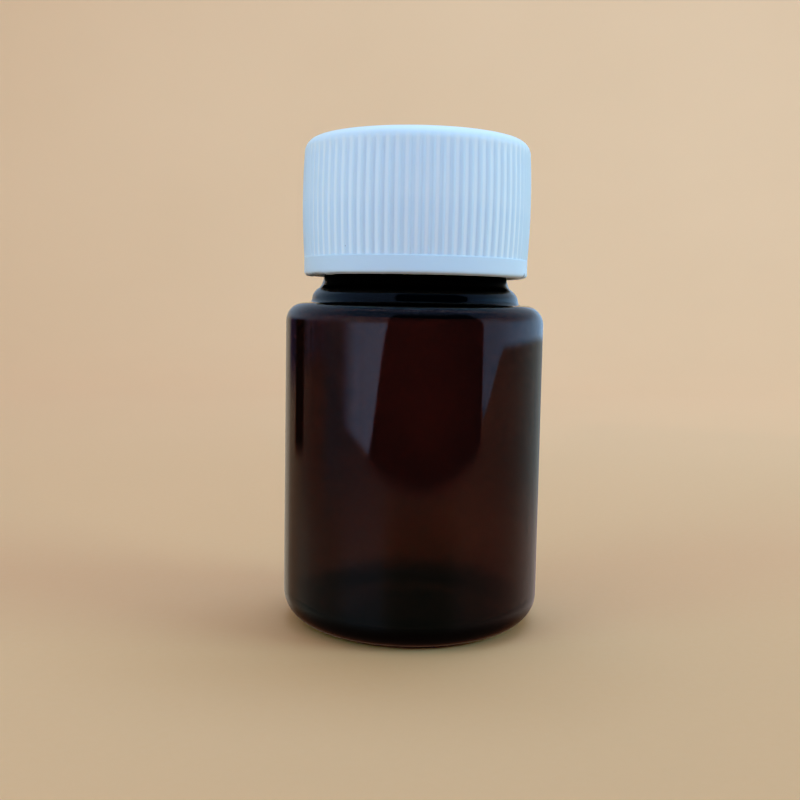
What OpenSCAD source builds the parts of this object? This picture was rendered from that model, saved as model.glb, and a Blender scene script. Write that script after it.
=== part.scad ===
// Small round bottle for tablets or capsules, with a ribbed screw cap and a two-layer sealing liner.
// Millimetres, +Z up, origin at the centre of the face that the bottle stands on, cap screwed home.

/* [Bottle body] */
// Diameter of the straight barrel
body_d = 36; // [34:0.5:44]
// Height of the sealing lip above the standing face
lip_z = 64.8; // [62:0.2:90]
// Thickness of the barrel wall
body_wall = 0.7; // [0.5:0.1:1.0]
// Radius of the rounded heel round the foot
heel_r = 4.5; // [3:0.25:5]
// Radius of the rounded shoulder
shoulder_r = 2.6; // [1.5:0.1:2.8]
// Height that the middle of the base is pushed up by
push_up = 2.2; // [1:0.1:3]

/* [Neck finish] */
// Diameter of the plain neck between the threads
neck_d = 25.4; // [25:0.1:25.4]
// Diameter over the crests of the neck thread
thread_d = 27.5; // [27.2:0.1:27.5]
// Diameter of the bore through the neck
bore_d = 21.8; // [20:0.2:22]
// Height of the finish, from the lip down to the foot of the neck
finish_h = 16.5; // [16.5:0.1:18]
// Diameter of the bead under the neck
bead_d = 28.6; // [28:0.1:29]
// Rise of the screw thread in one turn
pitch = 4.2; // [4.2:0.01:4.24]
// Turns of thread on the neck and in the cap
thread_turns = 1.5; // [1:0.25:1.75]

/* [Screw cap] */
// Diameter over the ribs where the cap is widest
cap_d = 31.64; // [31.6:0.02:33]
// Diameter of the plain band under the ribs
band_d = 31.1; // [30.9:0.05:31.2]
// Height of the cap
cap_h = 18.7; // [18:0.1:19]
// Thickness of the top panel
panel_t = 1.4; // [1:0.1:1.6]
// Diameter of the bore of the skirt
skirt_bore_d = 27.9; // [27.8:0.1:28]
// Diameter inside the crests of the cap thread
cap_thread_d = 25.9; // [25.8:0.1:26.2]
// Number of ribs round the skirt
rib_count = 76; // [40:4:88]
// Width of one rib
rib_w = 0.54; // [0.4:0.02:0.7]
// Depth of the grooves between the ribs
groove_depth = 0.27; // [0.2:0.01:0.35]

/* [Liner] */
// Diameter of both layers of the liner
liner_d = 26.6; // [26:0.1:27]
// Thickness of the aluminium foil with its sealing film
foil_t = 0.12; // [0.08:0.01:0.2]
// Thickness of the pulpboard backing
board_t = 0.86; // [0.6:0.02:1.2]

/* [Hidden] */
$fn = 96;

body_r = body_d / 2;
neck_r = neck_d / 2;
bore_r = bore_d / 2;
bead_r = bead_d / 2;

// Bottle heights and the middles of its arcs, worked down from the lip
neck_foot_z = lip_z - finish_h;
bead_z = neck_foot_z - 2.5;
crease_z = neck_foot_z - 3.25;
crease_r = bead_r - 0.35;
shoulder_z = crease_z - 0.25 - shoulder_r;
foot_ring_r = body_r - heel_r - 1.0;
base_t = 1.2;
bead_round = 0.8;
neck_flare_r = 2;
bore_flare_r = 2.2;
bore_flare_z = neck_foot_z - 1.8;
lip_round = 0.35;

// Cap heights
liner_play = 0.02;
panel_z = lip_z + foil_t + board_t + liner_play;
cap_top_z = panel_z + panel_t;
cap_foot_z = cap_top_z - cap_h;
rib_foot_z = cap_foot_z + 2.4;
top_round = 1.9;
rib_top_z = cap_top_z - top_round;
rib_end_gap = 0.4;
rib_sink = 0.3;
rib_h = cap_top_z - rib_end_gap - rib_foot_z + rib_sink;
cap_r = cap_d / 2;
band_r = band_d / 2;
skirt_bore_r = skirt_bore_d / 2;
draft = 0.1;
rib_foot_step = 0.02;
barrel_bulge = cap_r - band_r + rib_foot_step - draft / 2;

// Thread ridges: width at the root and at the crest, and how far the root is sunk into its wall
ridge_root_w = 2.1;
ridge_crest_w = 1.0;
ridge_sink = 0.3;
ridge_step = 7.5;
ridge_taper = 30;
ridge_start = 0.15;
thread_top_gap = 2.0;
flank_play = 0.15;
neck_thread_z = lip_z - thread_top_gap - pitch * thread_turns;
cap_thread_z = neck_thread_z - (ridge_root_w + ridge_crest_w) / 2 - flank_play;

// Points along an arc about [x, z], from angle a0 to angle a1
function arc(x, z, r, a0, a1, steps) =
    [for (i = [0:steps]) let (a = a0 + (a1 - a0) * i / steps) [x + r * cos(a), z + r * sin(a)]];

// Radius of the gently barrelled skirt at height z
function barrel_r(z) =
    let (t = (z - rib_foot_z) / (rib_top_z - rib_foot_z))
    band_r - rib_foot_step + draft * t + 4 * barrel_bulge * t * (1 - t);

// Outline of the skirt and the rounded top edge, sunk below the crests of the ribs by a depth
function skirt_outline(depth) = concat(
    [for (i = [0:3]) let (z = rib_foot_z + (rib_top_z - rib_foot_z) * i / 3) [barrel_r(z) - depth, z]],
    arc(barrel_r(rib_top_z) - top_round, rib_top_z, top_round - depth, 18, 90, 4));

// How much of its height a ridge has at angle a along a thread of a given sweep
function ridge_height(a, sweep) = max(ridge_start, min(1, a / ridge_taper, (sweep - a) / ridge_taper));

// The four corners of a ridge's section at angle a: its root lies beyond root_r, its crest at crest_r
function ridge_section(root_r, crest_r, foot_z, a, sweep) =
    let (
        side = sign(crest_r - root_r),
        sunk_r = root_r - side * ridge_sink,
        tip_r = root_r + (crest_r - root_r) * ridge_height(a, sweep),
        z = foot_z + pitch * a / 360,
        corners = [
            [sunk_r, z - ridge_root_w / 2],
            [tip_r, z - ridge_crest_w / 2],
            [tip_r, z + ridge_crest_w / 2],
            [sunk_r, z + ridge_root_w / 2]
        ]
    )
    [for (c = corners) [c[0] * cos(a), c[0] * sin(a), c[1]]];

// A right-hand screw ridge, swept up round the Z axis from foot_z
module screw_ridge(root_r, crest_r, foot_z) {
    sweep = 360 * thread_turns;
    steps = round(sweep / ridge_step);
    points = [for (i = [0:steps]) each ridge_section(root_r, crest_r, foot_z, sweep * i / steps, sweep)];
    sides = [
        for (i = [0:steps - 1], k = [0:3])
            let (a = 4 * i + k, b = 4 * i + (k + 1) % 4)
            each [[a, b, a + 4], [b, b + 4, a + 4]]
    ];
    top = 4 * steps;
    ends = [[2, 1, 0], [3, 2, 0], [top + 1, top + 2, top], [top + 2, top + 3, top]];
    faces = concat(sides, ends);
    outward = crest_r > root_r;
    polyhedron(points, outward ? faces : [for (f = faces) [f[2], f[1], f[0]]]);
}

// Blow-moulded bottle: one wall from the pushed-up base to the threaded neck
module bottle() {
    outside = concat(
        [[0, push_up], [3, push_up - 0.1], [foot_ring_r - 2.4, 0.7], [foot_ring_r - 0.7, 0.1], [foot_ring_r, 0]],
        arc(body_r - heel_r, heel_r, heel_r, 270, 360, 9),
        arc(body_r - shoulder_r, shoulder_z, shoulder_r, 0, 90, 9),
        [[crease_r, crease_z]],
        arc(bead_r - bead_round, bead_z, bead_round, -50, 80, 7),
        arc(neck_r + neck_flare_r, neck_foot_z, neck_flare_r, 238, 180, 6),
        arc(neck_r - lip_round, lip_z - lip_round, lip_round, 0, 90, 3)
    );
    inside = concat(
        arc(bore_r + lip_round, lip_z - lip_round, lip_round, 90, 180, 3),
        arc(bore_r + bore_flare_r, bore_flare_z, bore_flare_r, 180, 270, 6),
        arc(body_r - shoulder_r, shoulder_z, shoulder_r - body_wall, 90, 0, 7),
        arc(body_r - heel_r, heel_r, heel_r - body_wall, 360, 270, 7),
        [[foot_ring_r - 1.6, base_t], [3, push_up + base_t - 0.1], [0, push_up + base_t]]
    );
    color([0.16, 0.05, 0.02])
    union() {
        rotate_extrude() polygon(concat(outside, inside));
        screw_ridge(neck_r, thread_d / 2, neck_thread_z);
    }
}

// The ribs: radial fins trimmed to the barrelled outline of the skirt
module ribs() {
    foot = [
        [band_r - 1, rib_foot_z - rib_sink],
        [band_r - rib_foot_step, rib_foot_z - rib_sink]
    ];
    intersection() {
        rotate_extrude() polygon(concat(foot, skirt_outline(0), [[band_r - 1, cap_top_z]]));
        for (i = [0:rib_count - 1])
            rotate(360 * (i + 0.5) / rib_count)
            translate([band_r - 0.8, -rib_w / 2, rib_foot_z - rib_sink])
            cube([2, rib_w, rib_h]);
    }
}

// Injection-moulded cap: top panel, skirt, plain band at its foot, ribs outside and thread inside
module cap() {
    shell = concat(
        [
            [0, panel_z],
            [skirt_bore_r - 0.4, panel_z],
            [skirt_bore_r, panel_z - 0.4],
            [skirt_bore_r, cap_foot_z + 0.3],
            [skirt_bore_r + 0.3, cap_foot_z],
            [band_r - 0.9, cap_foot_z],
            [band_r - 0.2, cap_foot_z + 0.5],
            [band_r, cap_foot_z + 0.8],
            [band_r, rib_foot_z]
        ],
        skirt_outline(groove_depth),
        [[barrel_r(rib_top_z) - top_round, cap_top_z], [0, cap_top_z]]
    );
    color([0.90, 0.93, 0.96])
    union() {
        rotate_extrude() polygon(shell);
        ribs();
        screw_ridge(skirt_bore_r, cap_thread_d / 2, cap_thread_z);
    }
}

// Pulpboard disc that springs the foil against the lip
module liner_board() {
    color([0.86, 0.82, 0.72])
    translate([0, 0, lip_z + foil_t])
    cylinder(h = board_t, d = liner_d);
}

// Aluminium foil with its heat-seal film, lying on the lip
module liner_foil() {
    color([0.78, 0.79, 0.80])
    translate([0, 0, lip_z])
    cylinder(h = foil_t, d = liner_d);
}

bottle();
cap();
liner_board();
liner_foil();
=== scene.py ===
import math

import bmesh
import bpy
import numpy as np
from mathutils import Matrix, Vector


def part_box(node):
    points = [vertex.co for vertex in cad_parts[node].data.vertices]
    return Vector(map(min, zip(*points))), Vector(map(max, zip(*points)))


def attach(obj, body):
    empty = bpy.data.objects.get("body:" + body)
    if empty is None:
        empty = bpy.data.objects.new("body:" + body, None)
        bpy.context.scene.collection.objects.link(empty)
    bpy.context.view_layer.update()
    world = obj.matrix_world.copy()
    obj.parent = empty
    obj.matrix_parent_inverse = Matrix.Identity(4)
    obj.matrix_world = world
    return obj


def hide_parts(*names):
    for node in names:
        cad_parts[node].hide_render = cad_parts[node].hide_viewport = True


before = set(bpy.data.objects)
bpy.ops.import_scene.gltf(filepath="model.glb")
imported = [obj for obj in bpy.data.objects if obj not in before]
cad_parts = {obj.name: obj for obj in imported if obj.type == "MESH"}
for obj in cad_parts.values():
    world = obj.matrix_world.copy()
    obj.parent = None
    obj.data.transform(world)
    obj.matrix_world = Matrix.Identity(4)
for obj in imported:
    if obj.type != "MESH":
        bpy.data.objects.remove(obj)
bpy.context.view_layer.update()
MM = 0.001
EYE_AWAY = 147.3
EYE_HEIGHT = 44.3


def box_mm(node):
    """Lowest and highest corner of a CAD node, in millimetres."""
    return [[v / MM for v in corner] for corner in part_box(node)]


# ---------------------------------------------------------------- sizes, from the CAD frame
BOTTLE_LO, BOTTLE_HI = box_mm("bottle")
CAP_LO, CAP_HI = box_mm("cap")
BOARD_LO, BOARD_HI = box_mm("liner_board")
FOIL_LO, FOIL_HI = box_mm("liner_foil")

BODY_R = BOTTLE_HI[0]
LIP_Z = BOTTLE_HI[2]
CAP_TOP = CAP_HI[2]
CAP_FOOT = CAP_LO[2]
LINER_R = BOARD_HI[0]

PITCH = 4.2
THREAD_SWEEP = 540
NECK_R = 12.7
BORE_R = 10.9
THREAD_R = 13.75
NECK_THREAD_Z = LIP_Z - 2.0 - PITCH * THREAD_SWEEP / 360
CAP_THREAD_Z = NECK_THREAD_Z - 1.7
SKIRT_BORE_R = 13.95
CAP_THREAD_R = 12.95


# ---------------------------------------------------------------- outline helpers
def arc(x, z, r, a0, a1, steps):
    """Points along an arc about (x, z), from angle a0 to a1 in degrees."""
    angles = [math.radians(a0 + (a1 - a0) * i / steps) for i in range(steps + 1)]
    return [(x + r * math.cos(a), z + r * math.sin(a)) for a in angles]


def run(p, q, steps):
    """Points from p to q, both left out."""
    return [(p[0] + (q[0] - p[0]) * i / steps, p[1] + (q[1] - p[1]) * i / steps) for i in range(1, steps)]


def through(points, steps):
    """A smooth curve through the points, with steps between each pair (Catmull-Rom)."""
    p = np.array([points[0]] + points + [points[-1]], float)
    out = []
    for a, b, c, d in zip(p, p[1:], p[2:], p[3:]):
        for t in np.arange(steps) / steps:
            out.append(0.5 * (2 * b + (c - a) * t + (2 * a - 5 * b + 4 * c - d) * t**2 + (3 * b - a - 3 * c + d) * t**3))
    return [tuple(q) for q in out] + [points[-1]]


def smooth(lo, hi, x):
    """0 below lo, 1 above hi, and a smooth step between."""
    t = np.clip((np.asarray(x, float) - lo) / (hi - lo), 0, 1)
    return t * t * (3 - 2 * t)


def lathe(name, outline, angles, displace=None, drop=None, marks=None):
    """A closed mesh turned round the Z axis, in metres.

    outline runs anticlockwise in the r-z plane, from the axis back to the axis, in millimetres.
    displace(r, z, side, theta) gives the height above the surface in mm, and drop the same along -Z.
    marks(r, z, side, theta) gives named 0 to 1 values that the material reads at each point.
    """
    pts = np.array(outline, float)
    tangent = np.gradient(pts, axis=0)
    tangent /= np.linalg.norm(tangent, axis=1)[:, None] + 1e-12
    normal = np.stack([tangent[:, 1], -tangent[:, 0]], axis=1)
    theta = np.radians(np.array(angles, float))
    mid = pts[1:-1]
    nrm = normal[1:-1]
    r = np.repeat(mid[:, :1], len(theta), 1)
    z = np.repeat(mid[:, 1:], len(theta), 1)
    t = np.repeat(theta[None, :], len(mid), 0)
    side = np.repeat(nrm[:, :1], len(theta), 1)
    d = displace(r, z, side, t) if displace else np.zeros_like(r)
    rr = r + nrm[:, :1] * d
    zz = z + nrm[:, 1:] * d
    if drop:
        zz = zz - drop(r, z, side, t)
    xyz = np.stack([rr * np.cos(t), rr * np.sin(t), zz], axis=2).reshape(-1, 3)
    poles = np.array([[0, 0, pts[0, 1]], [0, 0, pts[-1, 1]]])
    verts = np.concatenate([xyz, poles]) * MM
    rows, cols = len(mid), len(theta)
    i = np.arange(rows - 1)[:, None] * cols
    j = np.arange(cols)[None, :]
    k = (j + 1) % cols
    quads = np.stack([i + j, i + k, i + cols + k, i + cols + j], axis=2).reshape(-1, 4)
    faces = quads.tolist()
    first, last = rows * cols, rows * cols + 1
    top = (rows - 1) * cols
    faces += [[first, int(b), int(a)] for a, b in zip(j[0], k[0])]
    faces += [[last, top + int(a), top + int(b)] for a, b in zip(j[0], k[0])]
    mesh = bpy.data.meshes.new(name)
    mesh.from_pydata(verts.tolist(), [], faces)
    bm = bmesh.new()
    bm.from_mesh(mesh)
    bmesh.ops.recalc_face_normals(bm, faces=bm.faces)
    bm.to_mesh(mesh)
    bm.free()
    mesh.shade_smooth()
    for key, value in (marks(r, z, side, t) if marks else {}).items():
        mesh.attributes.new(key, "FLOAT", "POINT").data.foreach_set("value", np.append(value.ravel(), [0.0, 0.0]))
    obj = bpy.data.objects.new(name, mesh)
    bpy.context.scene.collection.objects.link(obj)
    return obj


def helix_ridge(z, theta, z0, sweep, crest, root, taper=26.0):
    """0 to 1: how much of its height a screw ridge has at height z and angle theta (radians)."""
    best = np.zeros_like(z)
    turn = np.degrees(theta) % 360
    for k in range(int(sweep // 360) + 1):
        a = turn + 360 * k
        ends = smooth(0, taper, a) * (1 - smooth(sweep - taper, sweep, a))
        off = np.abs(z - (z0 + PITCH * a / 360))
        body = 1 - smooth(crest / 2, root / 2, off)
        best = np.maximum(best, np.where(a <= sweep, ends * body, 0))
    return best


# ---------------------------------------------------------------- material helpers
class Nodes:
    """Short names for building one material's node tree."""

    def __init__(self, name):
        self.mat = bpy.data.materials.new(name)
        self.mat.use_nodes = True
        self.tree = self.mat.node_tree
        self.tree.nodes.clear()
        self.out = self.add("ShaderNodeOutputMaterial")
        self.coords = self.add("ShaderNodeTexCoord").outputs["Object"]

    def add(self, kind, **values):
        node = self.tree.nodes.new(kind)
        for key, value in values.items():
            setattr(node, key, value)
        return node

    def link(self, a, b):
        self.tree.links.new(a, b)

    def put(self, socket, value):
        if hasattr(value, "is_output"):
            self.link(value, socket)
        else:
            socket.default_value = value

    def stretch(self, scale):
        node = self.add("ShaderNodeMapping")
        node.inputs["Scale"].default_value = scale
        self.link(self.coords, node.inputs["Vector"])
        return node.outputs["Vector"]

    def noise(self, scale, detail=2.0, rough=0.5, vector=None):
        node = self.add("ShaderNodeTexNoise")
        node.inputs["Scale"].default_value = scale
        node.inputs["Detail"].default_value = detail
        node.inputs["Roughness"].default_value = rough
        self.link(vector or self.coords, node.inputs["Vector"])
        return node.outputs["Fac"]

    def cells(self, scale, vector=None):
        node = self.add("ShaderNodeTexVoronoi")
        node.inputs["Scale"].default_value = scale
        self.link(vector or self.coords, node.inputs["Vector"])
        return node.outputs["Distance"], node.outputs["Color"]

    def mark(self, name):
        return self.add("ShaderNodeAttribute", attribute_name=name).outputs["Fac"]

    def span(self, value, a, b, c, d):
        """value from the range a to b mapped to the range c to d, and held at the ends."""
        node = self.add("ShaderNodeMapRange")
        self.put(node.inputs["Value"], value)
        for key, number in zip(("From Min", "From Max", "To Min", "To Max"), (a, b, c, d)):
            node.inputs[key].default_value = number
        return node.outputs["Result"]

    def math(self, kind, a, b=0.0):
        node = self.add("ShaderNodeMath", operation=kind)
        self.put(node.inputs[0], a)
        self.put(node.inputs[1], b)
        return node.outputs[0]

    def mix(self, fac, a, b):
        node = self.add("ShaderNodeMix", data_type="RGBA")
        self.put(node.inputs["Factor"], fac)
        self.put(node.inputs["A"], a)
        self.put(node.inputs["B"], b)
        return node.outputs["Result"]

    def bump(self, height, strength, distance, normal=None):
        node = self.add("ShaderNodeBump")
        node.inputs["Strength"].default_value = strength
        node.inputs["Distance"].default_value = distance
        self.link(height, node.inputs["Height"])
        if normal:
            self.link(normal, node.inputs["Normal"])
        return node.outputs["Normal"]

    def shader(self, kind, output="Surface", **values):
        node = self.add(kind)
        for key, value in values.items():
            self.put(node.inputs[key.replace("_", " ")], value)
        self.link(node.outputs[0], self.out.inputs[output])
        return node


def amber_material():
    """Dark amber PET: a clear gloss shell whose colour is absorbed in its thickness."""
    m = Nodes("amber_pet")
    smears = m.noise(140, 3, 0.55, m.stretch((1, 1, 0.5)))
    rub = m.noise(900, 2, 0.6, m.stretch((1, 1, 0.12)))
    rough = m.math("ADD", m.span(smears, 0.35, 0.75, 0.004, 0.026), m.span(rub, 0.62, 0.8, 0.0, 0.03))
    ripple = m.noise(190, 1, 0.4, m.stretch((1, 1, 0.35)))
    grain = m.noise(2600, 2, 0.5)
    lines = m.noise(420, 3, 0.6, m.stretch((1, 1, 0.02)))
    normal = m.bump(grain, 0.04, 0.00002, m.bump(ripple, 0.08, 0.0002, m.bump(lines, 0.22, 0.00008)))
    m.shader(
        "ShaderNodeBsdfPrincipled",
        Base_Color=(0.97, 0.93, 0.88, 1),
        Roughness=rough,
        IOR=1.575,
        Transmission_Weight=1.0,
        Normal=normal,
    )
    m.shader("ShaderNodeVolumeAbsorption", "Volume", Color=(0.295, 0.12, 0.07, 1), Density=3000.0)
    return m.mat


def cap_material():
    """Satin white polypropylene with flow marks, fine grain and a few dark specks; painted highlights on the rib
    crests, painted shade in the grooves, on the thin wall, on the foot band and under the flash, and a painted warm
    light on the top edge.
    """
    m = Nodes("white_pp")
    cloud = m.noise(120, 4, 0.55)
    flow = m.noise(260, 3, 0.6, m.stretch((1, 1, 0.25)))
    base = m.mix(m.span(cloud, 0.3, 0.7, 0, 1), (0.82, 0.88, 0.93, 1), (0.865, 0.91, 0.945, 1))
    base = m.mix(m.span(flow, 0.62, 0.85, 0, 0.35), base, (0.76, 0.82, 0.885, 1))
    # painted shade: the thin wall over the open neck is darkened where the dark inside shows through
    base = m.mix(m.math("MULTIPLY", m.mark("thin_wall"), 0.4), base, (0.77, 0.84, 0.905, 1))
    # painted highlight on the rib crests
    base = m.mix(m.math("MULTIPLY", m.mark("rib_crest"), 0.7), base, (0.93, 0.95, 0.96, 1))
    # painted shade in the groove floors, deeper over the thin wall
    base = m.mix(m.math("MULTIPLY", m.mark("groove_floor"), 0.85), base, (0.70, 0.79, 0.875, 1))
    # painted shade: the plain foot band below the ribs is darker
    base = m.mix(m.mark("foot_band"), base, (0.69, 0.775, 0.85, 1))
    # painted shade under the ragged flash at one place, and one small dark speck on the foot
    base = m.mix(m.math("MULTIPLY", m.mark("stain"), 0.8), base, (0.13, 0.125, 0.12, 1))
    # painted warm light on the rounded top edge
    base = m.mix(m.mark("top_edge"), base, (0.98, 0.92, 0.81, 1))
    dist, _ = m.cells(210)
    specks = m.math("LESS_THAN", dist, m.span(m.noise(700, 1), 0.4, 0.7, -0.05, 0.055))
    base = m.mix(m.math("MULTIPLY", specks, 0.7), base, (0.16, 0.16, 0.19, 1))
    rough = m.span(m.noise(700, 3, 0.6), 0.3, 0.7, 0.33, 0.47)
    grain = m.bump(m.noise(5200, 2, 0.55), 0.10, 0.00003, m.bump(flow, 0.10, 0.0002))
    node = m.shader(
        "ShaderNodeBsdfPrincipled",
        Base_Color=base,
        Roughness=rough,
        IOR=1.49,
        Subsurface_Weight=0.15,
        Subsurface_Scale=0.0005,
        Normal=grain,
    )
    node.inputs["Subsurface Radius"].default_value = (1.0, 0.95, 0.9)
    return m.mat


def board_material():
    """Pale pulpboard: pressed fibres, matte."""
    m = Nodes("pulp_board")
    fibre = m.noise(1500, 5, 0.65, m.stretch((1, 0.35, 1)))
    cross = m.noise(1100, 4, 0.6, m.stretch((0.3, 1, 1)))
    both = m.math("ADD", m.math("MULTIPLY", fibre, 0.5), m.math("MULTIPLY", cross, 0.5))
    base = m.mix(m.span(both, 0.35, 0.65, 0, 1), (0.60, 0.53, 0.41, 1), (0.79, 0.74, 0.63, 1))
    m.shader(
        "ShaderNodeBsdfPrincipled",
        Base_Color=base,
        Roughness=m.span(both, 0.3, 0.7, 0.95, 0.8),
        Normal=m.bump(both, 0.5, 0.00008),
    )
    return m.mat


def foil_material():
    """Rolled aluminium foil under a thin clear sealing film."""
    m = Nodes("seal_foil")
    rolled = m.noise(1600, 3, 0.6, m.stretch((0.05, 1, 1)))
    cloud = m.noise(300, 3, 0.5)
    base = m.mix(m.span(cloud, 0.3, 0.7, 0, 1), (0.76, 0.76, 0.765, 1), (0.86, 0.86, 0.865, 1))
    m.shader(
        "ShaderNodeBsdfPrincipled",
        Base_Color=base,
        Metallic=1.0,
        Roughness=m.span(rolled, 0.3, 0.7, 0.22, 0.36),
        Coat_Weight=0.5,
        Coat_Roughness=0.12,
        Normal=m.bump(rolled, 0.15, 0.00002),
    )
    return m.mat


def paper_material():
    """Pale beige backdrop paper."""
    m = Nodes("backdrop_paper")
    cloud = m.noise(3.0, 3, 0.5)
    tooth = m.noise(900, 4, 0.6)
    base = m.mix(m.span(cloud, 0.3, 0.7, 0, 1), PAPER_DARK, PAPER_LIGHT)
    split = m.add("ShaderNodeSeparateXYZ")
    m.link(m.coords, split.inputs[0])
    base = m.mix(m.span(split.outputs["Y"], -0.30, -0.75, 0, 1), base, PAPER_FRONT)
    m.shader(
        "ShaderNodeBsdfPrincipled",
        Base_Color=base,
        Roughness=m.span(tooth, 0.3, 0.7, 0.9, 0.75),
        Specular_IOR_Level=0.25,
        Normal=m.bump(tooth, 0.15, 0.0001),
    )
    return m.mat


# ---------------------------------------------------------------- bottle
SHOULDER_Z = 42.2
SEAMS = (168.0, 348.0)


def bottle_outline():
    outer = [(0, 2.05), (0.5, 2.05), (1.0, 2.07), (1.3, 2.13), (1.6, 2.17), (2.2, 2.16), (3.0, 2.1)]
    outer += run((3.0, 2.1), (10.1, 0.7), 10)
    outer += [(10.1, 0.7), (10.7, 0.52), (11.3, 0.31), (11.8, 0.12), (12.1, 0.04), (12.5, 0.0)]
    outer += run((12.5, 0.0), (13.5, 0.0), 4)
    outer += arc(13.5, 4.5, 4.5, 270, 360, 26)
    outer += run((BODY_R, 4.5), (BODY_R, SHOULDER_Z), 34)
    outer += arc(15.4, SHOULDER_Z, 2.6, 0, 84, 22)
    outer += [(15.4, 44.8), (15.1, 44.81), (14.82, 44.84)]
    outer += through([(14.62, 44.91), (14.47, 45.2), (14.31, 45.93), (13.8, 46.62), (13.14, 47.24), (NECK_R, 48.6)], 4)
    outer += run((NECK_R, 48.6), (NECK_R, 54.6), 14)
    outer += run((NECK_R, 54.6), (NECK_R, 64.3), 66)
    outer += [(NECK_R, 64.3)]
    outer += arc(NECK_R - 0.35, LIP_Z - 0.35, 0.35, 0, 90, 6)
    outer += run((NECK_R - 0.35, LIP_Z), (BORE_R + 0.35, LIP_Z), 5)
    inner = arc(BORE_R + 0.35, LIP_Z - 0.35, 0.35, 90, 180, 6)
    inner += run((BORE_R, LIP_Z - 0.35), (BORE_R, 46.5), 24)
    inner += arc(BORE_R + 2.2, 46.5, 2.2, 180, 270, 14)
    inner += run((13.1, 44.3), (15.4, 44.1), 4)
    inner += arc(15.4, SHOULDER_Z, 1.9, 90, 0, 16)
    inner += run((17.3, SHOULDER_Z), (17.27, 5.0), 34)
    inner += arc(14.27, 5.0, 3.0, 360, 272, 20)
    inner += run((14.27, 2.0), (3.0, 3.9), 14)
    inner += [(3.0, 3.9), (1.5, 3.98), (0, 4.0)]
    return outer + inner


def bottle_skin(r, z, side, t):
    """Thread, mould seams and the slight waviness of a blown wall."""
    outer = (side > 0.0) | (z < 0.6)
    neck = (r > NECK_R - 0.01) & (z > 54.0) & (z < 64.35) & (side > 0.9)
    ridge = helix_ridge(z, t, NECK_THREAD_Z, THREAD_SWEEP, 0.9, 2.1)
    seam = np.zeros_like(z)
    for a in SEAMS:
        off = np.abs((np.degrees(t) - a + 180) % 360 - 180) * math.pi / 180 * np.maximum(r, 1)
        seam = np.maximum(seam, 1 - smooth(0.04, 0.22, off))
    d = np.where(neck, (THREAD_R - NECK_R) * ridge * (1 - 0.1 * seam), 0.0)
    on_body = smooth(0.8, 3.0, z) * (1 - smooth(63.6, 64.2, z))
    d += np.where((side > 0.05) & outer, 0.022 * seam * on_body, 0.0)
    band = smooth(3.0, 9.0, z) * (1 - smooth(38.0, 44.0, z))
    wave_out = (
        0.5 * np.sin(2 * t + 0.9 + 0.05 * z)
        + 0.3 * np.sin(3 * t - 1.3 + 0.11 * z)
        + 0.2 * np.sin(5 * t + 0.4 - 0.23 * z)
        + 0.25 * np.sin(0.33 * z + 1.1 + np.sin(t))
    )
    wave_in = (
        0.6 * np.sin(2 * t + 2.2 - 0.04 * z)
        + 0.4 * np.sin(4 * t + 0.7 + 0.09 * z)
        + 0.3 * np.sin(0.41 * z - 0.8 + 1.3 * np.sin(2 * t))
        + 0.2 * np.sin(7 * t + 0.31 * z)
    )
    barrel = np.abs(side) > 0.9
    d += np.where(barrel & (side > 0) & (r > 17), 0.008 * wave_out * band, 0.0)
    d += np.where(barrel & (side < 0) & (r > 16), 0.035 * wave_in * band, 0.0)
    return d


def bottle_angles():
    angles = [360 * i / 240 for i in range(240)]
    for seam in SEAMS:
        angles = [a for a in angles if abs(a - seam) > 1.0]
        angles += [seam + off for off in (-0.75, -0.4, -0.15, 0.15, 0.4, 0.75)]
    return sorted(angles)


bottle = lathe("bottle_shell", bottle_outline(), bottle_angles(), bottle_skin)
bottle.data.materials.append(amber_material())
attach(bottle, "bottle")
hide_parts("bottle")


# ---------------------------------------------------------------- cap
RIBS = 76
RIB_OFFSETS = (-0.5, -0.27, -0.21, -0.16, -0.09, 0.0, 0.09, 0.16, 0.21, 0.27)
GROOVE = 0.27
RIB_FOOT = CAP_FOOT + 2.4
TOP_ROUND = 1.9
RIB_TOP = CAP_TOP - TOP_ROUND
BAND_R = 15.55
BULGE = 0.24
PANEL_Z = 65.8


def barrel_r(z):
    """Radius of the gently barrelled skirt at height z."""
    t = (z - RIB_FOOT) / (RIB_TOP - RIB_FOOT)
    return BAND_R + 0.08 * t + 4 * BULGE * t * (1 - t)


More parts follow.
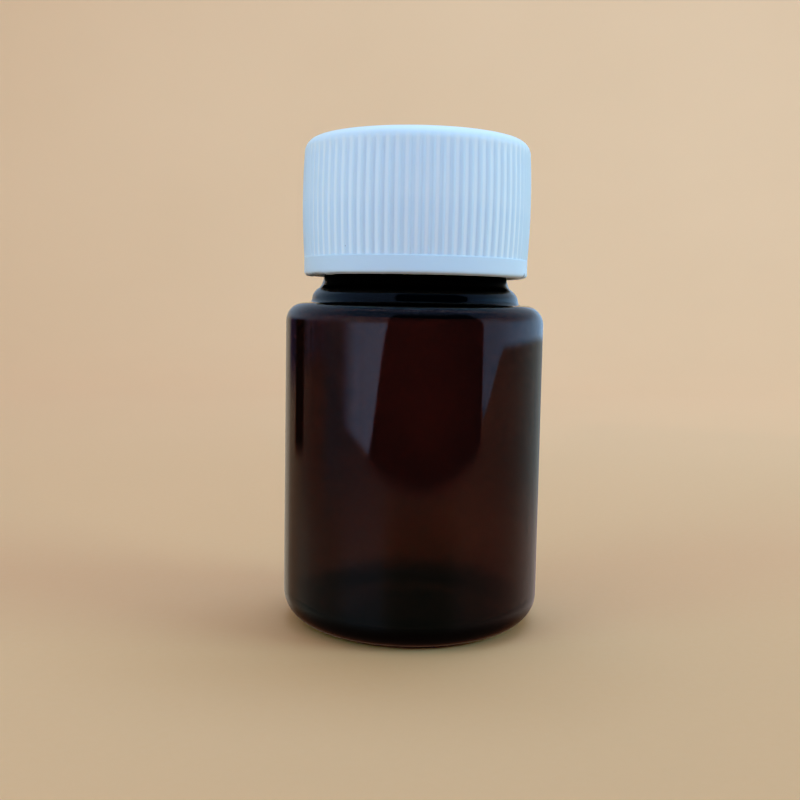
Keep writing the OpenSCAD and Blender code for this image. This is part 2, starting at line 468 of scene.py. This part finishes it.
def cap_outline():
    inner = [(0, PANEL_Z), (4, PANEL_Z), (8, PANEL_Z), (11, PANEL_Z), (13, PANEL_Z)]
    inner += arc(SKIRT_BORE_R - 0.4, PANEL_Z - 0.4, 0.4, 90, 0, 4)
    inner += run((SKIRT_BORE_R, PANEL_Z - 0.4), (SKIRT_BORE_R, 62.6), 4)
    inner += run((SKIRT_BORE_R, 62.8), (SKIRT_BORE_R, 53.2), 40)
    inner += run((SKIRT_BORE_R, 53.2), (SKIRT_BORE_R, CAP_FOOT + 0.3), 4)
    foot = [
        (SKIRT_BORE_R, CAP_FOOT + 0.32), (14.05, CAP_FOOT + 0.14), (14.2, CAP_FOOT + 0.03),
        (14.35, CAP_FOOT), (14.6, CAP_FOOT), (14.85, CAP_FOOT + 0.03), (15.1, CAP_FOOT + 0.09),
        (15.3, CAP_FOOT + 0.16), (15.42, CAP_FOOT + 0.23), (15.5, CAP_FOOT + 0.34),
        (BAND_R, CAP_FOOT + 0.5), (BAND_R, CAP_FOOT + 0.8), (BAND_R, CAP_FOOT + 1.3), (BAND_R, CAP_FOOT + 1.9),
        (BAND_R, RIB_FOOT - 0.1), (BAND_R, RIB_FOOT - 0.02),
    ]
    skirt = [(barrel_r(RIB_FOOT + dz), RIB_FOOT + dz) for dz in (0.02, 0.07, 0.13, 0.3)]
    skirt += [(barrel_r(z), z) for z in np.linspace(RIB_FOOT + 0.8, RIB_TOP, 15)]
    r0 = barrel_r(RIB_TOP) - TOP_ROUND
    top = arc(r0, RIB_TOP, TOP_ROUND, 5, 90, 17)
    top += run((r0, CAP_TOP), (1.6, CAP_TOP), 7)
    gate = [(1.6, CAP_TOP), (1.4, CAP_TOP - 0.02), (1.15, CAP_TOP - 0.12), (0.8, CAP_TOP - 0.14)]
    gate += [(0.5, CAP_TOP - 0.12), (0.38, CAP_TOP - 0.03), (0, CAP_TOP - 0.02)]
    return inner + foot + skirt + top + gate


def cap_skin(r, z, side, t):
    """Grooves between the ribs, the inner thread, and slight shrink marks."""
    u = (np.degrees(t) / (360 / RIBS) - 0.5 + 0.5) % 1.0 - 0.5
    wall = smooth(0.14, 0.25, np.abs(u))
    depth = GROOVE * smooth(RIB_FOOT, RIB_FOOT + 0.07, z) * (1 - smooth(RIB_TOP - 0.6, CAP_TOP - 0.5, z))
    outer = (r > 13.0) & (side > 0.02) & (z > RIB_FOOT - 0.01)
    d = np.where(outer, -depth * wall, 0.0)
    bore = (side < -0.9) & (r < SKIRT_BORE_R + 0.01) & (z > 53.0) & (z < 62.9)
    ridge = helix_ridge(z, t, CAP_THREAD_Z, THREAD_SWEEP, 0.9, 2.1)
    d += np.where(bore, (SKIRT_BORE_R - CAP_THREAD_R) * ridge, 0.0)
    band = (r > 15.2) & (side > 0.5)
    d += np.where(band, 0.012 * np.sin(3 * t + 0.6) + 0.006 * np.sin(5 * t + 0.3 * z), 0.0)
    top = (side < 0.3) & (z > CAP_TOP - 0.3) & (r < 14.5)
    d += np.where(top, -0.03 * (1 - smooth(0, 13, r)) + 0.006 * np.sin(2 * t + 0.4 * r) * smooth(0, 4, r), 0.0)
    return d


def teeth(t):
    """Ragged edge of the flash, about -1 to 1."""
    return 0.5 * np.sin(23 * t + 1.0) + 0.35 * np.sin(41 * t + 2.2) + 0.3 * np.sin(67 * t) + 0.2 * np.sin(97 * t + 0.5)


def around(t, centre, near, far):
    """1 within near degrees of the centre angle, 0 beyond far."""
    return 1 - smooth(near, far, np.abs((np.degrees(t) - centre + 180) % 360 - 180))


def cap_marks(r, z, side, t):
    """Painted light and shade: highlights on the rib crests, shade in the groove floors, on the thin wall over the
    open neck, on the foot band and under the flash at one place, and a warm light on the top edge; also one dark
    speck.
    """
    u = np.abs((np.degrees(t) / (360 / RIBS)) % 1.0 - 0.5)
    u = 0.5 - u
    ribbed = smooth(RIB_FOOT, RIB_FOOT + 0.1, z) * (1 - smooth(RIB_TOP - 0.6, CAP_TOP - 0.5, z)) * (r > 14.5)
    thick = helix_ridge(z, t, CAP_THREAD_Z, THREAD_SWEEP, 1.0, 3.6)
    skirt = (r > 14.5) * smooth(RIB_FOOT, RIB_FOOT + 0.6, z) * smooth(58.4, 56.6, z + 0.5 * np.cos(t - 0.6))
    return {
        "rib_crest": ribbed * (1 - smooth(0.08, 0.17, u)),
        "groove_floor": ribbed * smooth(0.16, 0.27, u) * (0.7 + 0.3 * skirt),
        "thin_wall": skirt * (1 - 0.5 * thick),
        "foot_band": (z < RIB_FOOT - 0.01) * (r > 14.3),
        "stain": (r > 14.3) * smooth(CAP_FOOT + 0.3, CAP_FOOT + 0.15, z) * around(t, 202, 12, 20) * smooth(-0.2, 0.3, teeth(t))
        + (r > 15.0) * smooth(CAP_FOOT + 0.7, CAP_FOOT + 0.4, z) * around(t, 342, 0.7, 2.2),
        "top_edge": (z > RIB_TOP) * smooth(RIB_TOP + 0.7, CAP_TOP - 0.2, z),
    }


def cap_flash(r, z, side, t):
    """Ragged flash round the foot, stronger at one place, downwards in mm."""
    foot = (z < CAP_FOOT + 0.45) & (r > 14.3)
    here = 0.015 + 0.24 * around(t, 204, 10, 22)
    return np.where(foot, here * np.maximum(teeth(t), -0.2) * (1 - smooth(0.1, 0.45, z - CAP_FOOT)), 0.0)


def cap_angles():
    return [360 / RIBS * (i + off) for i in range(RIBS) for off in RIB_OFFSETS]


cap = lathe("cap_shell", cap_outline(), cap_angles(), cap_skin, cap_flash, cap_marks)
cap.data.materials.append(cap_material())
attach(cap, "cap")
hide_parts("cap")


# ---------------------------------------------------------------- liner
def disc_outline(r, z0, z1, edge, steps):
    out = [(0, z0)] + [(r * f, z0) for f in (0.15, 0.3, 0.45, 0.6, 0.7, 0.78, 0.81, 0.84, 0.87, 0.9, 0.93, 0.96)]
    out += arc(r - edge, z0 + edge, edge, 270, 360, steps)
    out += arc(r - edge, z1 - edge, edge, 0, 90, steps)
    out += [(r * f, z1) for f in (0.96, 0.93, 0.9, 0.87, 0.84, 0.81, 0.78, 0.7, 0.6, 0.45, 0.3, 0.15)] + [(0, z1)]
    return out


def board_skin(r, z, side, t):
    return np.where(side > 0.9, 0.02 * np.sin(31 * t) * np.sin(17 * t + 1), -0.006 * (1 + np.sin(3 * t + r)))


def foil_skin(r, z, side, t):
    """A faint ring where the lip presses, and shallow wrinkles, all inside the sheet's own room."""
    under = (side < 0.5) & (z < FOIL_LO[2] + 0.02)
    ring = smooth(10.7, 11.0, r) * (1 - smooth(12.5, 12.8, r))
    wrinkle = 0.5 + 0.5 * np.sin(5 * t + 0.9 * r) * np.sin(3 * t - 0.5 * r + 1)
    return np.where(under, -0.022 * ring - 0.012 * wrinkle * (1 - ring), 0.0)


angles = [360 * i / 160 for i in range(160)]
board = lathe("liner_board_disc", disc_outline(LINER_R, BOARD_LO[2], BOARD_HI[2], 0.12, 4), angles, board_skin)
board.data.materials.append(board_material())
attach(board, "liner")
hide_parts("liner_board")

foil = lathe("liner_foil_disc", disc_outline(LINER_R, FOIL_LO[2], FOIL_HI[2], 0.03, 3), angles, foil_skin)
foil.data.materials.append(foil_material())
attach(foil, "liner")
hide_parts("liner_foil")


# ---------------------------------------------------------------- stage: one pale sweep of paper all round
PAPER_DARK = (0.84, 0.413, 0.183, 1)
PAPER_LIGHT = (0.88, 0.437, 0.197, 1)
PAPER_FRONT = (0.72, 0.74, 0.76, 1)
FLOOR_Z = -0.02


def sweep_outline():
    out = [(0, FLOOR_Z)] + [(x, FLOOR_Z) for x in (60, 120, 200, 300, 400)]
    out += arc(420, FLOOR_Z + 480, 480, 270, 360, 24)
    out += [(900, 640), (900, 800)]
    return out


def sweep(name):
    """Open bowl of revolution, as the stage."""
    pts = np.array(sweep_outline()) * MM
    cols = 96
    bm = bmesh.new()
    pole = bm.verts.new((0, 0, pts[0][1]))
    rings = []
    for x, z in pts[1:]:
        rings.append([
            bm.verts.new((x * math.cos(2 * math.pi * j / cols), x * math.sin(2 * math.pi * j / cols), z))
            for j in range(cols)
        ])
    for j in range(cols):
        bm.faces.new((pole, rings[0][j], rings[0][(j + 1) % cols]))
        for a, b in zip(rings, rings[1:]):
            bm.faces.new((a[j], b[j], b[(j + 1) % cols], a[(j + 1) % cols]))
    mesh = bpy.data.meshes.new(name)
    bm.to_mesh(mesh)
    bm.free()
    mesh.shade_smooth()
    obj = bpy.data.objects.new(name, mesh)
    bpy.context.scene.collection.objects.link(obj)
    return obj


floor = sweep("stage_sweep")
floor.data.materials.append(paper_material())


# ---------------------------------------------------------------- light
def panel(name, corner_a, corner_b, z0, z1, radiance, facing):
    """An upright soft panel between two floor points, in metres, that faces a point and stays out of sight."""
    a, b = Vector(corner_a), Vector(corner_b)
    width = (b - a).length
    height = z1 - z0
    centre = Vector(((a.x + b.x) / 2, (a.y + b.y) / 2, (z0 + z1) / 2))
    along = Vector((b.x - a.x, b.y - a.y, 0)).normalized()
    back = along.cross(Vector((0, 0, 1)))
    if back.dot(Vector((facing[0], facing[1], 0)) - Vector((centre.x, centre.y, 0))) > 0:
        back = -back
        along = -along
    light = bpy.data.lights.new(name, "AREA")
    light.shape = "RECTANGLE"
    light.size, light.size_y = width, height
    peak = max(radiance)
    light.color = [v / peak for v in radiance]
    light.energy = peak * width * height * AREA_WATTS
    obj = bpy.data.objects.new(name, light)
    obj.matrix_world = Matrix.Translation(centre) @ Matrix((along, (0, 0, 1), back)).transposed().to_4x4()
    obj.visible_camera = False
    bpy.context.scene.collection.objects.link(obj)
    return obj


AREA_WATTS = 4.0
windows = [
    panel("window_left", (-0.083, -0.165), (-0.230, -0.104), 0.0005, 0.3, (0.50, 0.65, 0.95), (0, 0)),
    panel("window_right", (0.274, -0.097), (0.85, -0.02), 0.0005, 0.35, (0.35, 0.45, 0.70), (0, 0)),
]
for light in windows:
    light.visible_glossy = False
    light.visible_transmission = False


def overhead(name, x, y, z, size, radiance, target):
    light = bpy.data.lights.new(name, "AREA")
    light.shape = "SQUARE"
    light.size = size
    peak = max(radiance)
    light.color = [v / peak for v in radiance]
    light.energy = peak * size * size * AREA_WATTS
    obj = bpy.data.objects.new(name, light)
    obj.location = (x, y, z)
    direction = Vector(target) - Vector((x, y, z))
    obj.rotation_mode = "QUATERNION"
    obj.rotation_quaternion = direction.to_track_quat("-Z", "Y")
    obj.visible_camera = False
    bpy.context.scene.collection.objects.link(obj)
    return obj


def room_light(az, level):
    """Radiance the front of the bottle mirrors; az in degrees from the front, level in mm up the bottle."""
    shape = np.broadcast(az, level).shape

    def flat(colour):
        return np.broadcast_to(np.array(colour, float), shape + (3,))

    def blend(a, b, share):
        return a + (b - a) * np.broadcast_to(share, shape)[..., None]

    low = smooth(25, 9, level)
    high = blend(flat((0.18, 0.32, 0.40)), flat((0.31, 0.34, 0.34)), smooth(-70, 80, az))
    wall = blend(flat((0.31, 0.28, 0.26)), flat((0.20, 0.21, 0.25)), smooth(33, 38, level))
    high = blend(high, wall, smooth(-82, -104, az))
    near = blend(flat((0.37, 0.365, 0.34)), flat((0.45, 0.37, 0.34)), smooth(20, 100, az))
    near = blend(near, flat((0.38, 0.42, 0.45)), smooth(-85, -55, az) * smooth(-15, -35, az))
    near = blend(near, flat((0.27, 0.28, 0.235)), smooth(-30, -5, az) * smooth(55, 30, az))
    room = blend(high, near, low)
    corner = blend(flat((0.11, 0.11, 0.155)), flat((0.33, 0.26, 0.21)), smooth(38, 29, level))
    room = blend(room, corner, smooth(-116, -146, az))
    room = blend(room, flat((0.50, 0.42, 0.33)), smooth(-151, -163, az))
    folds = 0.5 + 0.5 * np.sin(0.9 * az + 0.6 * np.sin(0.37 * az))
    drape = smooth(-84, -92, az) * smooth(-124, -118, az) * smooth(35, 38, level)
    room = blend(room, flat((0.30, 0.42, 0.60)), 0.45 * folds * drape)
    post = smooth(-123, -127, az) * smooth(-142, -138, az) * smooth(22, 26, level)
    room = blend(room, flat((0.05, 0.045, 0.04)), post)
    above = smooth(43, 62, level)
    room = blend(room, flat((0.38, 0.47, 0.59)), above)

    sill = 27.0 - (az + 67) * 0.137
    edge = 0.85 * np.minimum(level, 42) - 58.5
    pane = smooth(-76, -54, az) * smooth(0, -5, az - edge) * smooth(sill - 1.1, sill + 1.1, level)
    pane = pane * smooth(56, 45, level)
    room = blend(room, flat((0.51, 0.82, 1.17)), pane)
    bars = smooth(1.6, 0.3, np.abs(az + 51)) + 0.5 * smooth(2.0, 0.5, np.abs(az + 61))
    room = blend(room, flat((0.36, 0.56, 0.80)), 0.7 * bars * pane)
    slope = np.interp(az, (66, 70, 79, 88, 95, 150), (40.5, 28.5, 31.5, 36.5, 38.6, 39.8))
    pane = smooth(66, 70, az) * smooth(slope - 0.8, slope + 0.8, level) * smooth(80, 50, level)
    glow = blend(flat((0.37, 0.65, 0.92)), flat((0.54, 0.81, 1.16)), smooth(82, 108, az))
    room = blend(room, glow, pane)

    foot = 19.1 + ((az - 8) / 24.5) ** 2
    figure = smooth(-5, 0, az - edge) * smooth(70, 67.5, az) * smooth(foot - 3.0, foot + 1.4, level)
    figure = figure * smooth(220, 120, level)
    return blend(room, flat((0.005, 0.055, 0.12)), figure)


def shown_at(x, y, z):
    """Where the bottle's round wall mirrors a point of the room to the camera: direction in degrees, height in mm."""
    low, high = np.zeros_like(x), np.arctan2(x, -y)
    for _ in range(40):
        turn = (low + high) / 2
        at_x, at_y = BODY_R * np.sin(turn), -BODY_R * np.cos(turn)
        leaving = np.arctan2(x - at_x, at_y - y) - turn
        coming = turn - np.arctan2(-at_x, at_y + EYE_AWAY)
        before = np.abs((leaving + np.pi) % (2 * np.pi) - np.pi) > np.abs(coming)
        low, high = np.where(before, turn, low), np.where(before, high, turn)
    ahead = EYE_AWAY - BODY_R * np.cos(turn)
    to_eye = np.hypot(at_x, ahead)
    to_room = np.hypot(x - at_x, y - at_y)
    height = z + (EYE_HEIGHT - z) * to_room / (to_room + to_eye)
    limb = BODY_R / math.sqrt(EYE_AWAY ** 2 - BODY_R ** 2)
    across = np.clip(BODY_R * np.sin(turn) / ahead / limb, -1, 1)
    level = 43.5 - 1.09 * (EYE_HEIGHT - height) * (EYE_AWAY - BODY_R) / ahead
    return 2 * np.degrees(np.arcsin(across)) + 7.5 * across, level


def reflection_card(name):
    """A card round the set, flat on the floor and then upright, that only mirror-like reflections see."""
    az = np.arange(-166, 167, 1.0)
    reach = np.concatenate([np.linspace(14.6, 60, 36), np.linspace(64, 270, 60)])
    rise = np.concatenate([np.linspace(0, 60, 61)[1:], np.linspace(66, 480, 60)])
    lid = np.linspace(250, 40, 15)
    out = np.concatenate([reach, np.full(len(rise), 270.0), lid])
    up = np.concatenate([np.full(len(reach), 0.05), rise, np.full(len(lid), rise[-1])])
    a = np.radians(az)[None, :]
    x, y = out[:, None] * np.sin(a), -out[:, None] * np.cos(a)
    z = np.broadcast_to(up[:, None], x.shape)
    verts = np.stack([x, y, z], axis=2).reshape(-1, 3) * MM
    rows, cols = x.shape
    i = np.arange(rows - 1)[:, None] * cols
    j = np.arange(cols - 1)[None, :]
    faces = np.stack([i + j, i + j + 1, i + cols + j + 1, i + cols + j], axis=2).reshape(-1, 4).tolist()
    mesh = bpy.data.meshes.new(name)
    mesh.from_pydata(verts.tolist(), [], faces)
    away = np.maximum(1, 19 / out)[:, None]
    glow = room_light(*shown_at(x * away, y * away, z))
    shade = (smooth(23, 17, out) * (up < 0.1))[:, None, None]
    glow = (glow * (1 - shade) + np.array([0.155, 0.105, 0.08]) * shade).reshape(-1, 3)
    store = mesh.color_attributes.new(name="glow", type="FLOAT_COLOR", domain="POINT")
    store.data.foreach_set("color", np.concatenate([glow, np.ones((len(glow), 1))], axis=1).ravel())
    obj = bpy.data.objects.new(name, mesh)
    bpy.context.scene.collection.objects.link(obj)
    m = Nodes(name)
    m.shader("ShaderNodeEmission", Color=m.add("ShaderNodeAttribute", attribute_name="glow").outputs["Color"])
    m.mat.cycles.emission_sampling = "NONE"
    mesh.materials.append(m.mat)
    for kind in ("camera", "diffuse", "transmission", "volume_scatter", "shadow"):
        setattr(obj, "visible_" + kind, False)


reflection_card("reflection_card")
fills = [
    overhead("front_fill", -0.12, -0.80, 0.20, 0.36, (0.02, 0.25, 2.6), (0, 0, 0.055)),
    overhead("right_fill", 0.78, -0.22, 0.30, 0.4, (2.5, 7.0, 9.8), (0, 0, 0.05)),
    overhead("left_fill", -0.66, -0.42, 0.30, 0.35, (0.1, 2.7, 3.2), (0, 0, 0.05)),
    overhead("wall_wash", 0.10, 0.25, 0.75, 0.5, (1.85, 4.45, 8.9), (0.2, 0.9, 0.2)),
]
for light in fills:
    light.visible_glossy = False

world = bpy.data.worlds.new("sky")
world.use_nodes = True
bpy.context.scene.world = world
tree = world.node_tree
tree.nodes.clear()
coords = tree.nodes.new("ShaderNodeTexCoord")
split = tree.nodes.new("ShaderNodeSeparateXYZ")
ramp = tree.nodes.new("ShaderNodeValToRGB")
sky = tree.nodes.new("ShaderNodeBackground")
sky_out = tree.nodes.new("ShaderNodeOutputWorld")
tree.links.new(coords.outputs["Generated"], split.inputs[0])
tree.links.new(split.outputs["Z"], ramp.inputs["Fac"])
tree.links.new(ramp.outputs["Color"], sky.inputs["Color"])
tree.links.new(sky.outputs[0], sky_out.inputs["Surface"])
sky.inputs["Strength"].default_value = 1.0
ramp.color_ramp.elements[0].position = 0.0
ramp.color_ramp.elements[0].color = (0.054, 0.067, 0.09, 1)
ramp.color_ramp.elements[1].position = 1.0
ramp.color_ramp.elements[1].color = (0.54, 0.67, 0.90, 1)
middle = ramp.color_ramp.elements.new(0.45)
middle.color = (0.38, 0.47, 0.63, 1)


# ---------------------------------------------------------------- camera
CAMERA_AT = (0.0, -EYE_AWAY * MM, EYE_HEIGHT * MM)
PITCH_DOWN = 0.0887
ROLL = 0.018
YAW = math.radians(0.715)
LENS = 46.85

forward = Vector((
    -math.sin(YAW) * math.cos(PITCH_DOWN), math.cos(YAW) * math.cos(PITCH_DOWN), -math.sin(PITCH_DOWN)
))
right = forward.cross(Vector((0, 0, 1))).normalized()
up = right.cross(forward)
tilted_up = up * math.cos(ROLL) - right * math.sin(ROLL)
tilted_right = right * math.cos(ROLL) + up * math.sin(ROLL)
lens = bpy.data.cameras.new("camera")
lens.lens = LENS
lens.sensor_width = 36
lens.clip_start = 0.005
lens.clip_end = 10
camera = bpy.data.objects.new("camera", lens)
camera.matrix_world = (
    Matrix.Translation(CAMERA_AT) @ Matrix((tilted_right, tilted_up, -forward)).transposed().to_4x4()
)
bpy.context.scene.collection.objects.link(camera)
bpy.context.scene.camera = camera

scene = bpy.context.scene
scene.view_settings.view_transform = "Standard"
scene.view_settings.use_curve_mapping = True
curve = scene.view_settings.curve_mapping
toe = curve.curves[3]
for x, y in ((0.012, 0.002), (0.024, 0.0065), (0.04, 0.022), (0.06, 0.045), (0.1, 0.09), (0.2, 0.195), (0.5, 0.5)):
    toe.points.new(x, y)
curve.update()
